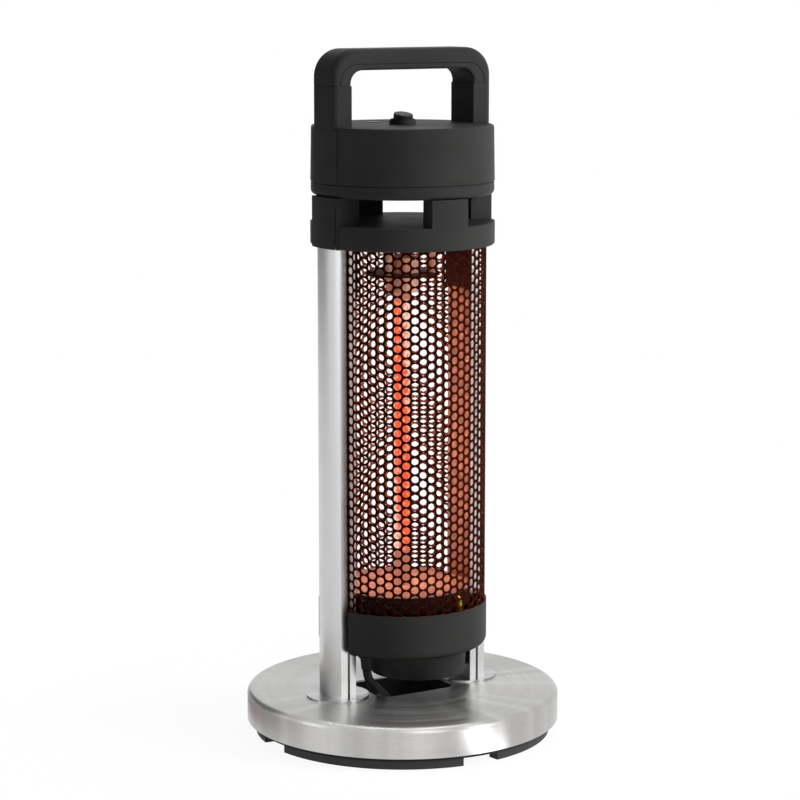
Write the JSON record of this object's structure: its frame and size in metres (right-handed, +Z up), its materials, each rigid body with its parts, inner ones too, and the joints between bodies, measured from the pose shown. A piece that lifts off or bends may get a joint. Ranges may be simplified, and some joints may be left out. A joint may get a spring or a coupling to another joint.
{
  "type": "infrared patio heater",
  "caption": "Table-top infrared heater: a glowing quartz lamp in perforated half-shell grilles between posts on a round steel base, with a vented head, carry handle and rocker switch.",
  "frame": {"origin": "on the floor under the centre of the round base", "axes": "+Z up, X through the two posts, -Y the side that faces the viewer"},
  "size_m": [0.2629, 0.3424, 0.4789],
  "materials": {
    "steel": "fine circular brushing, satin",
    "polished": "polished",
    "extrusion": "satin anodised",
    "black_plastic": "fine moulded grain, matte",
    "handle_plastic": "fine moulded grain, matte",
    "rubber_feet": "matte",
    "iron": "raw, painted dark",
    "zinc": "zinc plated",
    "grille": "heat-proof dark paint",
    "quartz": "clear",
    "glow": "glowing carbon ribbon",
    "ceramic": "unglazed ceramic",
    "shield": "heat-darkened sheet",
    "cord": "matte jacket",
    "tie": "woven strap",
    "pins": "nickel plated",
    "earth": "yellow with green",
    "lens": "smoked",
    "rocker": "soft cap"
  },
  "bodies": {
    "heater": {"base_cap": "steel", "base_plate": "black_plastic", "base_foot_1": "rubber_feet", "base_foot_2": "rubber_feet", "base_foot_3": "rubber_feet", "base_foot_4": "rubber_feet", "ballast_plate": "iron", "base_screws": "zinc", "post_collar_right": "polished", "post_collar_left": "polished", "post_right": "extrusion", "post_left": "extrusion", "post_inserts": "zinc", "post_bolts": "zinc", "post_top_inserts": "zinc", "post_top_screws": "zinc", "lower_cup": "black_plastic", "cup_screws": "zinc", "terminal_box": "black_plastic", "cable_gland": "cord", "terminal_block": "black_plastic", "tip_over_switch": "black_plastic", "thermal_cutout": "zinc", "grille_rear": "grille", "grille_front": "grille", "quartz_tube": "quartz", "heating_ribbon": "glow", "lower_lamp_holder": "ceramic", "upper_lamp_holder": "ceramic", "lower_shield": "shield", "upper_shield": "shield", "shield_standoffs": "zinc", "lower_supports": "zinc", "upper_brackets": "grille", "earth_wire": "earth", "vent_collar": "black_plastic", "head_base": "black_plastic", "head_housing": "black_plastic", "handle_upper": "handle_plastic", "handle_lower": "handle_plastic", "switch_bezel": "black_plastic", "switch_body": "black_plastic", "indicator_lens": "lens", "mains_cord": "cord", "cord_coil": "cord", "plug_body": "cord", "plug_pins": "pins", "cord_tie": "tie"},
    "rocker": {"switch_rocker": "rocker"}
  },
  "joints": [
    {"name": "power_switch", "type": "hinge", "parent": "heater", "child": "rocker", "pos_m": [0, 0, 0.4281], "axis": [1, 0, 0], "range_deg": [-24, 0]}
  ]
}
